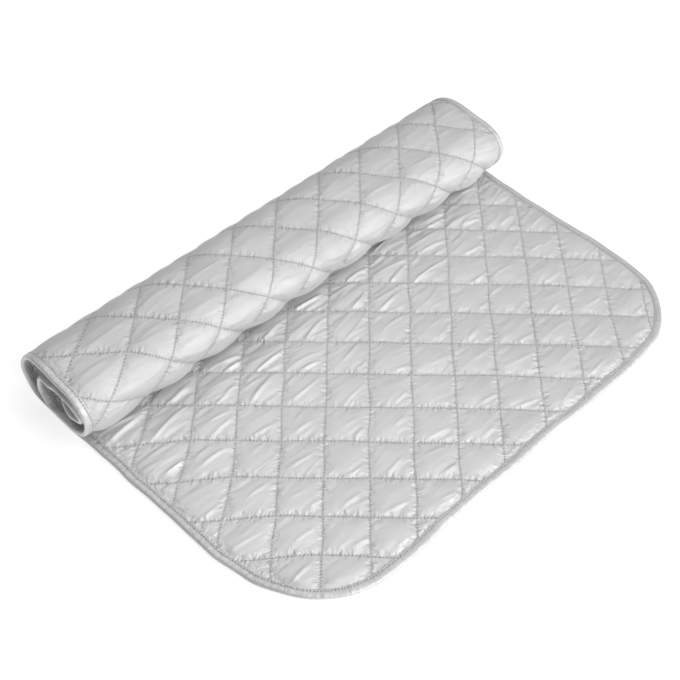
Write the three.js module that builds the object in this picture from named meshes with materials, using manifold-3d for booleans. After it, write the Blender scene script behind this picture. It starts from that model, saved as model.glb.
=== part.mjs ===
// Quilted ironing pad, lying flat over its front half and rolled up over the rest.
// The pad is drawn first as a flat pattern: u runs along its length from the free end, v across its
// width, h through its thickness from the back's crests. The pattern is then laid along the path that
// the rolled pad takes. X points from the roll to the free end, Y across, Z up; millimetres.
import * as THREE from "three";
import loadManifold from "manifold-3d";

// Overall size
const PAD_LENGTH = 730;
const PAD_WIDTH = 480;
const CORNER_RADIUS = 70;

// Layers, measured along a stitch line where the pad is thinnest
const CLOTH = 0.5;
const WADDING = 1.6;
const CLEARANCE = 0.3;

// Quilting: diamonds that stand on their corners
const DIAMOND = 51.5;
const PUFF = 1.6;
const CREST_FLAT = 0.5;
const FIRST_CROSSING_ROW = 20;
const CROSSING_COLUMN = -10.3;

// Binding tape round the edge
const BINDING_WIDTH = 11;
const BINDING_CLOTH = 0.5;
const BINDING_NOSE = 1.2;

// Roll: half turns joined by straight runs, each half turn smaller than the one outside it.
// The innermost turn goes a little further, so that the tail of the pad leans up inside the roll.
const HALF_TURNS = 4;
const CORE_RADIUS = 15;
const CORE_TURN = THREE.MathUtils.degToRad(200);
const AIR_GAP = 3.6;
const RUN = 34;
const TAIL = 30;

// Lines across the outermost half turn that open as the pad is rolled out
const BEND_LINES = 6;

// Facets
const MAX_TURN = 0.55;
const CORNER_STEPS = [0.05, 0.1, 0.3, 0.46, 0.64, 0.82];
const RIM_STEPS = 14;

// Derived levels through the thickness
const BACK_SEAM = PUFF;
const BACK_INSIDE = BACK_SEAM + CLOTH;
const WADDING_LOW = BACK_INSIDE + CLEARANCE;
const WADDING_HIGH = WADDING_LOW + WADDING;
const TOP_INSIDE = WADDING_HIGH + CLEARANCE;
const TOP_SEAM = TOP_INSIDE + CLOTH;
const THICKNESS = TOP_SEAM + PUFF;
const BINDING_LOW = BACK_SEAM - CLEARANCE - BINDING_CLOTH;
const BINDING_HIGH = TOP_SEAM + CLEARANCE + BINDING_CLOTH;
const LAYER_INSET = BINDING_NOSE + 2 * CLEARANCE;
const QUILT_INSET = BINDING_WIDTH + 2 * CLEARANCE;
const HALF_DIAMOND = DIAMOND / 2;

// Derived roll
const WIND_PITCH = THICKNESS + AIR_GAP;
const turns = [];
for (let k = HALF_TURNS - 1; k >= 0; k -= 1) {
  turns.push({ radius: CORE_RADIUS + k * WIND_PITCH / 2, sweep: k > 0 ? Math.PI : CORE_TURN });
}
const TURNS_LENGTH = turns.reduce((sum, turn) => sum + turn.radius * turn.sweep, 0);
const FLAT_LENGTH = PAD_LENGTH - TURNS_LENGTH - (HALF_TURNS - 1) * RUN - TAIL;

// The path of the pad's middle surface. Heading 0 runs toward -X; it grows as the pad curls up and over.
const heading = (angle) => [-Math.cos(angle), Math.sin(angle)];
const inward = (angle) => [Math.sin(angle), Math.cos(angle)];
const step = (point, direction, length) => [
  point[0] + direction[0] * length,
  point[1] + direction[1] * length,
];

const path = [];
let pathEnd = { from: 0, start: [0, THICKNESS / 2], angle: 0 };

function addRun(length) {
  path.push({ ...pathEnd, length, radius: Infinity });
  const start = step(pathEnd.start, heading(pathEnd.angle), length);
  pathEnd = { from: pathEnd.from + length, start, angle: pathEnd.angle };
}

function addTurn({ radius, sweep }) {
  const length = radius * sweep;
  const angle = pathEnd.angle + sweep;
  path.push({ ...pathEnd, length, radius });
  const centre = step(pathEnd.start, inward(pathEnd.angle), radius);
  pathEnd = { from: pathEnd.from + length, start: step(centre, inward(angle), -radius), angle };
}

addRun(FLAT_LENGTH);
turns.forEach((turn, k) => {
  addTurn(turn);
  addRun(k < HALF_TURNS - 1 ? RUN : TAIL);
});

const pieceAt = (u) => path.findLast((piece) => u >= piece.from) ?? path[0];

function turnAt(u) {
  const piece = pieceAt(u);
  return piece.angle + (u - piece.from) / piece.radius;
}

// A pattern point laid along the path
function place([u, v, h]) {
  const piece = pieceAt(u);
  const lift = h - THICKNESS / 2;
  let point;
  if (piece.radius === Infinity) {
    point = step(piece.start, heading(piece.angle), u - piece.from);
    point = step(point, inward(piece.angle), lift);
  } else {
    const centre = step(piece.start, inward(piece.angle), piece.radius);
    point = step(centre, inward(turnAt(u)), lift - piece.radius);
  }
  return new THREE.Vector3(point[0], v, point[1]);
}

// The bend lines, each with its pivot on the back's crests and the angle it opens by
const outerTurn = path[1];
const bends = [];
for (let i = 0; i < BEND_LINES; i += 1) {
  const u = outerTurn.from + outerTurn.length * (i + 0.5) / BEND_LINES;
  bends.push({ u, opening: turns[0].sweep / BEND_LINES, pivot: place([u, 0, 0]) });
}

// Half the pad's width at u, measured to a line that lies inset from its outline
function halfWidth(u, inset) {
  const fromEnd = Math.max(Math.min(u, PAD_LENGTH - u), inset);
  if (fromEnd >= CORNER_RADIUS) return PAD_WIDTH / 2 - inset;
  const radius = CORNER_RADIUS - inset;
  const back = CORNER_RADIUS - fromEnd;
  return PAD_WIDTH / 2 - CORNER_RADIUS + Math.sqrt(Math.max(radius ** 2 - back ** 2, 0));
}

// Distance of a pattern point from the pad's outline
function insetAt(u, v) {
  const fromEnd = Math.min(u, PAD_LENGTH - u);
  const alongBack = CORNER_RADIUS - fromEnd;
  const acrossBack = CORNER_RADIUS - (PAD_WIDTH / 2 - Math.abs(v));
  if (alongBack > 0 && acrossBack > 0) return CORNER_RADIUS - Math.hypot(alongBack, acrossBack);
  return Math.min(fromEnd, PAD_WIDTH / 2 - Math.abs(v));
}

// Rows of the pattern between two cuts: every row of stitch crossings, then the rows that follow
// the corners, the ends of the turns, and the curve itself
function rowsBetween(from, to) {
  const rows = [from, to];
  const farFrom = (u, gap) => rows.every((row) => Math.abs(row - u) > gap);
  const inside = (u) => u > from && u < to;
  for (let u = FIRST_CROSSING_ROW; u < to; u += HALF_DIAMOND) {
    if (inside(u) && farFrom(u, 0.8)) rows.push(u);
  }
  const wanted = [QUILT_INSET, ...CORNER_STEPS.map((share) => share * CORNER_RADIUS)];
  const mirrored = wanted.map((u) => PAD_LENGTH - u);
  for (const u of [...wanted, ...mirrored, ...path.map((piece) => piece.from)]) {
    if (inside(u) && farFrom(u, 2)) rows.push(u);
  }
  rows.sort((a, b) => a - b);
  const fine = [rows[0]];
  for (let i = 1; i < rows.length; i += 1) {
    const parts = Math.max(1, Math.ceil((turnAt(rows[i]) - turnAt(rows[i - 1])) / MAX_TURN));
    for (let j = 1; j <= parts; j += 1) {
      fine.push(rows[i - 1] + (rows[i] - rows[i - 1]) * j / parts);
    }
  }
  return fine;
}

// Across one row of the quilting: seam, crest, seam, crest. The band lies between two crossing rows.
function quiltedChain(u, band, seamLevel, puff) {
  const share = (u - FIRST_CROSSING_ROW) / HALF_DIAMOND - band;
  const f = THREE.MathUtils.clamp(share, 0, 1);
  const edge = halfWidth(u, LAYER_INSET);
  const limit = halfWidth(u, QUILT_INSET);
  const shift = CROSSING_COLUMN + (band % 2 === 0 ? 0 : HALF_DIAMOND);
  const reach = Math.ceil(PAD_WIDTH / 2 / DIAMOND) + 1;
  const chain = [[u, -edge, seamLevel], [u, -limit, seamLevel]];
  const add = (v, rise) => {
    const held = THREE.MathUtils.clamp(v, -limit, limit);
    const room = (insetAt(u, held) - QUILT_INSET) / (HALF_DIAMOND / 2);
    const share = THREE.MathUtils.clamp(Math.min(rise, room), 0, 1);
    chain.push([u, held, seamLevel + puff * share]);
  };
  for (let j = -reach; j <= reach; j += 1) {
    const crossing = shift + j * DIAMOND;
    add(crossing - f * HALF_DIAMOND, 0);
    add(crossing, f * (2 - f));
    add(crossing + f * HALF_DIAMOND, 0);
    add(crossing + HALF_DIAMOND, 1 - f * f);
  }
  chain.push([u, limit, seamLevel], [u, edge, seamLevel]);
  return chain;
}

const plainChain = (u, level) => {
  const edge = halfWidth(u, LAYER_INSET);
  return [[u, -edge, level], [u, edge, level]];
};

// The binding's section: outside over the edge and inside, each point by inset and level, with the
// share of the way round at which the two faces are joined across a cut
const bindingMiddle = (BINDING_LOW + BINDING_HIGH) / 2;
const BINDING_OUTSIDE = [
  [BINDING_WIDTH, BINDING_HIGH, 0],
  [BINDING_NOSE, BINDING_HIGH, 1],
  [0, bindingMiddle, 1.5],
  [BINDING_NOSE, BINDING_LOW, 2],
  [BINDING_WIDTH, BINDING_LOW, 3],
];
const BINDING_INSIDE = [
  [BINDING_WIDTH, BINDING_HIGH - BINDING_CLOTH, 0],
  [BINDING_NOSE, BINDING_HIGH - BINDING_CLOTH, 1],
  [BINDING_NOSE, BINDING_LOW + BINDING_CLOTH, 1.9],
  [BINDING_WIDTH, BINDING_LOW + BINDING_CLOTH, 3],
];

// One closed solid through rows of pattern points. Each span joins two rows that have the same number
// of points; a row is an upper and a lower chain that run the same way.
const snap = (x) => Math.round(x * 1e4) / 1e4;

function solid(spans, shareOf) {
  const corners = [];
  const triangle = (a, b, c) => {
    const points = [a, b, c].map((p) => p.slice(0, 3).map(snap));
    const keys = new Set(points.map(String));
    if (keys.size === 3) corners.push(...points.map(place));
  };
  const ring = (row) => [...row.upper, ...[...row.lower].reverse()];
  for (const [first, second] of spans) {
    const a = ring(first);
    const b = ring(second);
    a.forEach((point, i) => {
      const next = (i + 1) % a.length;
      triangle(point, a[next], b[next]);
      triangle(point, b[next], b[i]);
    });
  }
  const cap = (row, flip) => {
    const { upper, lower } = row;
    let i = 0;
    let j = 0;
    while (i < upper.length - 1 || j < lower.length - 1) {
      const upperShare = i < upper.length - 1 ? shareOf(upper[i + 1]) : Infinity;
      const lowerShare = j < lower.length - 1 ? shareOf(lower[j + 1]) : Infinity;
      const next = upperShare <= lowerShare ? upper[i + 1] : lower[j + 1];
      if (flip) triangle(upper[i], next, lower[j]);
      else triangle(upper[i], lower[j], next);
      if (upperShare <= lowerShare) i += 1;
      else j += 1;
    }
  };
  cap(spans[0][0], false);
  cap(spans[spans.length - 1][1], true);
  return outwardGeometry(corners);
}

// Triangles turned so that the solid's volume is positive
function outwardGeometry(corners) {
  let volume = 0;
  for (let i = 0; i < corners.length; i += 3) {
    volume += corners[i].dot(corners[i + 1].clone().cross(corners[i + 2]));
  }
  const ordered = volume > 0 ? corners : [...corners].reverse();
  return new THREE.BufferGeometry().setFromPoints(ordered);
}

// A layer of the pad between two cuts; a puff of zero leaves that face plain
function layer(from, to, low, lowPuff, high, highPuff) {
  const rows = rowsBetween(from, to);
  const spans = [];
  for (let i = 1; i < rows.length; i += 1) {
    const middle = (rows[i - 1] + rows[i]) / 2;
    const band = Math.floor((middle - FIRST_CROSSING_ROW) / HALF_DIAMOND);
    const chain = (u, level, puff) => (
      puff === 0 ? plainChain(u, level) : quiltedChain(u, band, level, puff)
    );
    const row = (u) => ({
      upper: chain(u, high, highPuff),
      lower: chain(u, low, lowPuff),
    });
    spans.push([row(rows[i - 1]), row(rows[i])]);
  }
  return solid(spans, (point) => point[1]);
}

const topCover = (from, to) => layer(from, to, TOP_INSIDE, 0, TOP_SEAM, PUFF);
const wadding = (from, to) => layer(from, to, WADDING_LOW, 0, WADDING_HIGH, 0);
const backCover = (from, to, puff) => layer(from, to, BACK_SEAM, -puff, BACK_INSIDE, 0);

// A length of binding through stations; a station gives the pattern point at each inset
function binding(stations) {
  const row = (station) => {
    const chain = (section) => section.map(([inset, level, share]) => [...station(inset), level, share]);
    return { upper: chain(BINDING_OUTSIDE), lower: chain(BINDING_INSIDE) };
  };
  const rows = stations.map(row);
  const spans = rows.slice(1).map((next, i) => [rows[i], next]);
  return solid(spans, (point) => point[3]);
}

const sideStation = (u, side) => (inset) => [u, side * halfWidth(u, inset)];

const sideBinding = (from, to, side) => binding(
  rowsBetween(from, to).map((u) => sideStation(u, side)),
);

// The binding round one end of the pad: up one side, round both corners, back down the other side
function endBinding(cut, atTail) {
  const along = (fromEnd) => (atTail ? PAD_LENGTH - fromEnd : fromEnd);
  const rows = atTail
    ? rowsBetween(cut, PAD_LENGTH - LAYER_INSET).filter((u) => u <= PAD_LENGTH - TAIL)
    : rowsBetween(LAYER_INSET, cut).filter((u) => u >= FLAT_LENGTH).reverse();
  const sides = rows.map(along);
  if (sides[sides.length - 1] > CORNER_RADIUS + 2) sides.push(CORNER_RADIUS);
  const back = Math.max(CORNER_RADIUS - sides[sides.length - 1], 0);
  const first = Math.asin(Math.min(back / (CORNER_RADIUS - BINDING_WIDTH), 1));
  const half = (side) => {
    const stations = sides.map((fromEnd) => sideStation(along(fromEnd), side));
    for (let i = 1; i <= RIM_STEPS; i += 1) {
      const turn = first + (Math.PI / 2 - first) * i / RIM_STEPS;
      stations.push((inset) => {
        const radius = CORNER_RADIUS - inset;
        const fromEnd = CORNER_RADIUS - radius * Math.sin(turn);
        const across = PAD_WIDTH / 2 - CORNER_RADIUS + radius * Math.cos(turn);
        return [along(fromEnd), side * across];
      });
    }
    return stations;
  };
  return binding([...half(-1), ...half(1).reverse()]);
}

// The crests under the flat half are pressed flat where the pad rests on them
const kernel = await loadManifold();
kernel.setup();

function pressedFlat(geometry) {
  const position = geometry.getAttribute("position");
  const numbers = new Map();
  const vertices = [];
  const triangles = [];
  for (let i = 0; i < position.count; i += 1) {
    const point = [position.getX(i), position.getY(i), position.getZ(i)];
    const key = point.map((x) => x.toFixed(3)).join(" ");
    if (!numbers.has(key)) {
      numbers.set(key, numbers.size);
      vertices.push(...point);
    }
    triangles.push(numbers.get(key));
  }
  const mesh = new kernel.Mesh({
    numProp: 3,
    vertProperties: new Float32Array(vertices),
    triVerts: new Uint32Array(triangles),
  });
  const pressed = new kernel.Manifold(mesh).trimByPlane([0, 0, 1], 0).getMesh();
  const result = new THREE.BufferGeometry();
  result.setAttribute("position", new THREE.BufferAttribute(pressed.vertProperties, pressed.numProp));
  result.setIndex(new THREE.BufferAttribute(pressed.triVerts, 1));
  return result.toNonIndexed();
}

// Materials
const silver = new THREE.MeshStandardMaterial({ color: 0xc4c5c6, metalness: 0.5, roughness: 0.42 });
const fill = new THREE.MeshStandardMaterial({ color: 0xf1efe8, metalness: 0, roughness: 0.95 });
const tape = new THREE.MeshStandardMaterial({ color: 0xb4b5b7, metalness: 0.5, roughness: 0.48 });

// The scene: each length of the pad hangs on the bend before it, so that turning the bend unrolls it
const pad = new THREE.Group();
pad.name = "ironing_pad";

function addMesh(parent, name, geometry, material, pivot) {
  geometry.translate(-pivot.x, 0, -pivot.z);
  geometry.computeVertexNormals();
  const mesh = new THREE.Mesh(geometry, material);
  mesh.name = name;
  parent.add(mesh);
}

const origin = new THREE.Vector3();
const flatStart = LAYER_INSET;
const flatCut = bends[0].u - CLEARANCE / 2;
addMesh(pad, "top_cover_flat", topCover(flatStart, flatCut), silver, origin);
addMesh(pad, "wadding_flat", wadding(flatStart, flatCut), fill, origin);
const restingBack = pressedFlat(backCover(flatStart, flatCut, PUFF + CREST_FLAT));
addMesh(pad, "back_cover_flat", restingBack, silver, origin);
addMesh(pad, "edge_binding_flat", endBinding(flatCut, false), tape, origin);

let parent = pad;
let parentPivot = origin;
bends.forEach((bend, k) => {
  const { pivot, opening } = bend;
  const last = k === bends.length - 1;
  const tag = last ? "roll" : `bend_${k + 1}`;
  const group = new THREE.Group();
  group.name = `${tag}_pivot`;
  group.position.set(pivot.x - parentPivot.x, 0, pivot.z - parentPivot.z);
  group.userData = { opening };
  parent.add(group);
  const from = bend.u + CLEARANCE / 2;
  const to = last ? PAD_LENGTH - LAYER_INSET : bends[k + 1].u - CLEARANCE / 2;
  addMesh(group, `top_cover_${tag}`, topCover(from, to), silver, pivot);
  addMesh(group, `wadding_${tag}`, wadding(from, to), fill, pivot);
  addMesh(group, `back_cover_${tag}`, backCover(from, to, PUFF), silver, pivot);
  if (last) {
    addMesh(group, "edge_binding_roll", endBinding(from, true), tape, pivot);
  } else {
    addMesh(group, `binding_left_${tag}`, sideBinding(from, to, -1), tape, pivot);
    addMesh(group, `binding_right_${tag}`, sideBinding(from, to, 1), tape, pivot);
  }
  parent = group;
  parentPivot = pivot;
});

// Origin under the middle of the part
pad.updateMatrixWorld(true);
const box = new THREE.Box3().setFromObject(pad);
pad.position.x = -(box.min.x + box.max.x) / 2;

export default pad;
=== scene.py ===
import math

import bpy
import numpy as np
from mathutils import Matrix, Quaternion, Vector


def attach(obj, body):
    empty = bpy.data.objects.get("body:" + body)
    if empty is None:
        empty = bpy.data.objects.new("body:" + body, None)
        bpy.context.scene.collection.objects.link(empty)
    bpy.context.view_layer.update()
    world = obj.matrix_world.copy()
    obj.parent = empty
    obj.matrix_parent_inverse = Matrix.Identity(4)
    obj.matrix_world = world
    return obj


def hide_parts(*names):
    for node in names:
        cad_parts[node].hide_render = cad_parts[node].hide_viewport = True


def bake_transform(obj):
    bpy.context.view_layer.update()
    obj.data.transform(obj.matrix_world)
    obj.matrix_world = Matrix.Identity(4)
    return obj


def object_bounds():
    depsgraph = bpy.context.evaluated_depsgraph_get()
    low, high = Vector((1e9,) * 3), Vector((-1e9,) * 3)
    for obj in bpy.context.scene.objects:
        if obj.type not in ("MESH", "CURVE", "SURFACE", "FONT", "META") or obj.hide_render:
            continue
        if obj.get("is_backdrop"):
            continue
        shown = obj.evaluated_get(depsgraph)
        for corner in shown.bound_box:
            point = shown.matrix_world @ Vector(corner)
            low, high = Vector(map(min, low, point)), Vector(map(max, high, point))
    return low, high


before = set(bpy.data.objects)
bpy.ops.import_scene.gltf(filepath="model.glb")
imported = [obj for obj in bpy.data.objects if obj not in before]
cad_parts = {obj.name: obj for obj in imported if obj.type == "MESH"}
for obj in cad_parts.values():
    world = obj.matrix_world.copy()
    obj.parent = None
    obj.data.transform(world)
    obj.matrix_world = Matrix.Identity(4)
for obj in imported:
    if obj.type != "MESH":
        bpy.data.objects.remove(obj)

cad_low, cad_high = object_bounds()

# Sizes of the pad in millimetres, as in the part's source. Stitch lines cross at the first row and column
MM = 0.001
PATH_LENGTH = 730.0
HALF_PAD = 240.0
CORNER_RADIUS = 70.0
THICKNESS = 6.4
MIDDLE = THICKNESS / 2
BACK_SEAM = 1.6
TOP_SEAM = THICKNESS - BACK_SEAM
DIAMOND = 51.5
FIRST_ROW = 20.0
FIRST_COLUMN = -10.3
QUILT_EDGE = 2.2

# The tape shows this wide in the photograph
BINDING_WIDTH = 8.0

# The roll, from its core outward
CORE_RADIUS = 15.0
CORE_TURN = math.radians(200)
HALF_TURNS = 4
WIND_STEP = 5.0
RUN = 34.0
TAIL = 30.0

# Inside the roll the pad's end lies towards the front, in loops shorter than the outer turn
INNER_RUNS = (26.0, 34.0, 26.0)
INNER_RADII = (16.0, 12.0, 7.0)
INNER_SWEEPS = (165, 185, 175)

# How the real pad lies: towards the roll it spreads sideways, and the roll leans towards the free end
LOOSE_LENGTH = 440.0
ROLL_WIDENS = 0.016
ROLL_SLIPS = -1.3
NEAR_MARGIN = 12.8
NEAR_MARGIN_FROM = 185.0
NEAR_MARGIN_OVER = 300.0
NEAR_STEP = 0.65
NEAR_STEP_FROM = 40.0
NEAR_STEP_OVER = 70.0
FAR_SIDE = 3.6
FAR_MORE = 1.7
FAR_FROM = 150.0
FAR_MORE_OVER = 120.0
CORNER_FROM = 125.0
CORNER_OVER = 95.0
NEAR_CORNER = (2.0, 2.0)
FAR_CORNER = (5.0, 4.4)
END_BULGE = 2.5
END_BULGE_AT = -145.0
END_BULGE_HALF = 40.0
END_BULGE_OVER = 32.0
END_FULL = 2.4
END_FULL_AT = 100.0
END_FULL_HALF = 95.0
END_FULL_OVER = 70.0
ROLL_LEANS = 7.0
ROLL_SKEWS = 3.0
SKEW_LENGTH = 40.0
SHOULDER_DROP = 5.0
SHOULDER_LENGTH = 45.0

# Under the roll, where it doesn't show, the cloth takes up more length than a smooth path has
TAKEN_UP = 17.0
TAKEN_FROM = 240.0
TAKEN_OVER = 170.0
PAD_LENGTH = PATH_LENGTH + TAKEN_UP
STEPS_PER_MM = 8

BODIES = ["flat_panel", "bend_1", "bend_2", "bend_3", "bend_4", "bend_5", "roll"]
HINGES = len(BODIES) - 1

# The cloth's grid has this many steps along one diamond, so stitch lines run on its diagonals
CELL_STEPS = 24
STEP = DIAMOND / CELL_STEPS


# Shape of the pad: its path through the roll and its outline

def wind():
    """The stretches that the pad's middle follows from the free end: start, length, bend, x, z and turn."""
    radii = [CORE_RADIUS + WIND_STEP * k for k in reversed(range(HALF_TURNS))]
    wound = math.pi * sum(radii[:-1]) + CORE_TURN * radii[-1] + RUN * (HALF_TURNS - 1) + TAIL
    plan = [(PATH_LENGTH - wound, 0.0), (math.pi * radii[0], 1 / radii[0])]
    plan += [(RUN, 0.0), (math.pi * radii[1], 1 / radii[1])]
    for run, radius, sweep in zip(INNER_RUNS, INNER_RADII, INNER_SWEEPS):
        plan += [(run, 0.0), (math.radians(sweep) * radius, 1 / radius)]
    plan.append((PATH_LENGTH - sum(length for length, _ in plan), 0.0))
    u, x, z, turn = 0.0, cad_high.x / MM, MIDDLE, 0.0
    stretches = []
    for length, bend in plan:
        stretches.append((u, length, bend, x, z, turn))
        u += length
        if bend:
            centre_x = x + math.sin(turn) / bend
            centre_z = z + math.cos(turn) / bend
            turn += length * bend
            x = centre_x - math.sin(turn) / bend
            z = centre_z - math.cos(turn) / bend
        else:
            x -= length * math.cos(turn)
            z += length * math.sin(turn)
    return np.array(stretches)


PATH = wind()

# After the flat stretch come the back's half turn, the run on top, the front's half turn and the inner loops
BACK_TURN, BACK_TURN_LENGTH = PATH[1, :2]
ROLL_START = PATH[2, 0]
ROLL_BACK = PATH[2, 3]
ROLL_MIDDLE = (PATH[2, 4] + MIDDLE) / 2
FRONT_TURN, FRONT_TURN_LENGTH = PATH[3, :2]
INNER_START = PATH[4, 0]


def smooth(x):
    x = np.clip(x, 0, 1)
    return x * x * (3 - 2 * x)


def path_length(u):
    """How far along its path the pad has come at u."""
    return u - TAKEN_UP * smooth((u - TAKEN_FROM) / TAKEN_OVER)


def pad_length(along):
    """The inverse of path_length."""
    u = np.linspace(0, PAD_LENGTH, STEPS_PER_MM * int(PAD_LENGTH))
    return float(np.interp(along, path_length(u), u))


ANY_TURN = (0, 2 * np.pi)


def waves(u, v, seed, count, turns, lengths):
    """The sum of seeded waves over the pad, each with its own direction, length and phase."""
    random = np.random.default_rng(seed)
    spans = (turns, lengths, ANY_TURN)
    drawn = [random.uniform(*span, count) for span in spans]
    return sum(np.sin((u * np.cos(turn) + v * np.sin(turn)) * 2 * np.pi / length + phase)
               for turn, length, phase in zip(*drawn))


# Stitch lines and edges aren't quite straight
WOBBLE = 0.35
WOBBLE_WAVES = 12
WOBBLE_LENGTHS = (30.0, 120.0)
ALONG_SEED = 31
ACROSS_SEED = 32
RIM_WOBBLE = 0.2
RIM_REACH = 30.0
STEADY = 20.0


def wobble(u, v, seed):
    """A seeded unevenness in millimetres."""
    total = waves(u, v, seed, WOBBLE_WAVES, ANY_TURN, WOBBLE_LENGTHS)
    by_rim = 1 + RIM_WOBBLE * smooth(1 - inset_at(u, v) / RIM_REACH)
    return WOBBLE * total / math.sqrt(WOBBLE_WAVES / 2) * by_rim


# The pad is cut into pieces at the hinge lines
CUTS = [pad_length(BACK_TURN + BACK_TURN_LENGTH * k / HINGES) for k in range(HINGES + 1)]
FIRST_CUT = CUTS[0]


# The inner loops are uneven at the roll's ends
CRUMPLE = 1.5
CRUMPLE_FROM = 150.0
CRUMPLE_OVER = 70.0
CRUMPLE_RISE = 30.0
CRUMPLE_LENGTHS = (33.0, 21.0)
CRUMPLE_PHASES = (0.5, 2.1)
CRUMPLE_SLANT = 8.0


def crumple(s, v):
    """How far in millimetres the inner loops leave their path."""
    inner = smooth((s - INNER_START) / CRUMPLE_RISE) * smooth((np.abs(v) - CRUMPLE_FROM) / CRUMPLE_OVER)
    folds = sum(np.sin(2 * np.pi * (s + v / CRUMPLE_SLANT) / length + phase)
                for length, phase in zip(CRUMPLE_LENGTHS, CRUMPLE_PHASES))
    return CRUMPLE * inner * folds / len(CRUMPLE_LENGTHS)


def place(u, v, h):
    """Points in metres: u along the pad from its free end, v across it, h up from the back's crests."""
    u, v, h = np.broadcast_arrays(np.asarray(u, float), v, h)
    steady = smooth((u - FIRST_CUT) / STEADY + 1) * smooth((CUTS[-1] - u) / STEADY + 1)
    u, v = u + wobble(u, v, ALONG_SEED) * (1 - steady), v + wobble(u, v, ACROSS_SEED)
    s = path_length(u)
    which = np.clip(np.searchsorted(PATH[:, 0], s, side="right") - 1, 0, len(PATH) - 1)
    start, _, bend, x, z, turn = np.moveaxis(PATH[which], -1, 0)
    along, lift = s - start, h - MIDDLE + crumple(s, v)
    now = turn + along * bend
    curved = bend > 0
    radius = 1 / np.where(curved, bend, 1.0)
    straight_x = x - along * np.cos(turn) + lift * np.sin(turn)
    straight_z = z + along * np.sin(turn) + lift * np.cos(turn)
    curved_x = x + radius * np.sin(turn) - (radius - lift) * np.sin(now)
    curved_z = z + radius * np.cos(turn) - (radius - lift) * np.cos(now)
    x = np.where(curved, curved_x, straight_x)
    z = np.where(curved, curved_z, straight_z)

    # The roll's front shoulder sinks, and the roll leans and turns a little
    high = np.clip(z / ROLL_MIDDLE - 1, 0, 1) * (s > ROLL_START)
    z = z - SHOULDER_DROP * high * smooth((x - ROLL_BACK) / SHOULDER_LENGTH)
    skewed = smooth((s - ROLL_START) / SKEW_LENGTH) * ROLL_SKEWS * v / HALF_PAD
    x = x + ROLL_LEANS * smooth((s - BACK_TURN) / BACK_TURN_LENGTH) + skewed

    # Towards the roll the pad spreads sideways
    loose = np.minimum(u / LOOSE_LENGTH, 1) ** 2
    near = smooth((-v - NEAR_MARGIN_FROM) / (HALF_PAD - BINDING_WIDTH - NEAR_MARGIN_FROM))
    stepped = smooth((u - NEAR_STEP_FROM) / NEAR_STEP_OVER)
    near = near * (NEAR_STEP * stepped + (1 - NEAR_STEP) * np.minimum(u / NEAR_MARGIN_OVER, 1))
    drawn = FAR_SIDE + FAR_MORE * smooth(1 - u / FAR_MORE_OVER)
    far = smooth((v - FAR_FROM) / (HALF_PAD - FAR_FROM)) * drawn
    y = v + loose * (ROLL_WIDENS * v + ROLL_SLIPS) - NEAR_MARGIN * near - far

    # The free end's corners are drawn in, and its edge is a little full between them
    ending = smooth(1 - u / CORNER_OVER)
    near_corner, far_corner = (smooth((side - CORNER_FROM) / (HALF_PAD - CORNER_FROM)) * ending
                               for side in (-v, v))
    bulge = smooth(1 - u / END_BULGE_OVER) * np.maximum(1 - ((v - END_BULGE_AT) / END_BULGE_HALF) ** 2, 0)
    full = smooth(1 - u / END_FULL_OVER) * np.maximum(1 - ((v - END_FULL_AT) / END_FULL_HALF) ** 2, 0)
    x = x - NEAR_CORNER[0] * near_corner - FAR_CORNER[0] * far_corner + END_BULGE * bulge + END_FULL * full
    y = y + NEAR_CORNER[1] * near_corner - FAR_CORNER[1] * far_corner
    return np.stack([x, y, z], -1) * MM


def half_width(u, inset):
    """Half the pad's width at u, measured at an inset from its outline."""
    radius = CORNER_RADIUS - inset
    end = np.minimum(u, PAD_LENGTH - u) - inset
    short = np.clip(radius - end, 0, radius)
    return HALF_PAD - inset - radius + np.sqrt(radius**2 - short**2)


def inset_at(u, v):
    """How far a point lies inside the pad's outline."""
    side = HALF_PAD - np.abs(v)
    end = np.minimum(u, PAD_LENGTH - u)
    rounded = CORNER_RADIUS - np.hypot(CORNER_RADIUS - side, CORNER_RADIUS - end)
    in_corner = (side < CORNER_RADIUS) & (end < CORNER_RADIUS)
    return np.where(in_corner, rounded, np.minimum(side, end))


def linked(name, data):
    """A new object in the scene."""
    obj = bpy.data.objects.new(name, data)
    bpy.context.scene.collection.objects.link(obj)
    return obj


# Cloth simulation: a sheet pinned on its stitch lines, gathered a little and pushed up by the wadding

COLUMNS = np.arange(math.floor((-HALF_PAD - FIRST_COLUMN) / STEP),
                    math.ceil((HALF_PAD - FIRST_COLUMN) / STEP) + 1)
ACROSS = FIRST_COLUMN + STEP * COLUMNS
SIM_SCALE = 0.01
SIM_FRAMES = 20
GATHER_FRAMES = 12
SIM_MARGIN = CELL_STEPS // 2
START_PUFF = 0.8
START_RIPPLE = 0.3
RIPPLES = 8
RIPPLE_TURNS = (-0.5, 0.5)
RIPPLE_LENGTHS = (14.0, 34.0)
CUSHION_POWER = 0.7
CREST_PERCENT = 97


def cushion(i, j):
    """From 0 on the stitch lines to 1 in the middle of a diamond, for grid row i and column j."""
    rise = 1.0
    for line in (i + j, i - j):
        near = np.minimum(line % CELL_STEPS, -line % CELL_STEPS) / (CELL_STEPS / 4)
        rise = rise * np.sin(np.pi / 2 * np.minimum(near, 1)) ** CUSHION_POWER
    return rise


def sheet_mesh(name, points):
    rows, columns = points.shape[:2]
    index = np.arange(rows * columns).reshape(rows, columns)
    corners = [index[:-1, :-1], index[1:, :-1], index[1:, 1:], index[:-1, 1:]]
    mesh = bpy.data.meshes.new(name)
    mesh.from_pydata(points.reshape(-1, 3).tolist(), [], np.stack(corners, -1).reshape(-1, 4).tolist())
    return linked(name, mesh)


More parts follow.
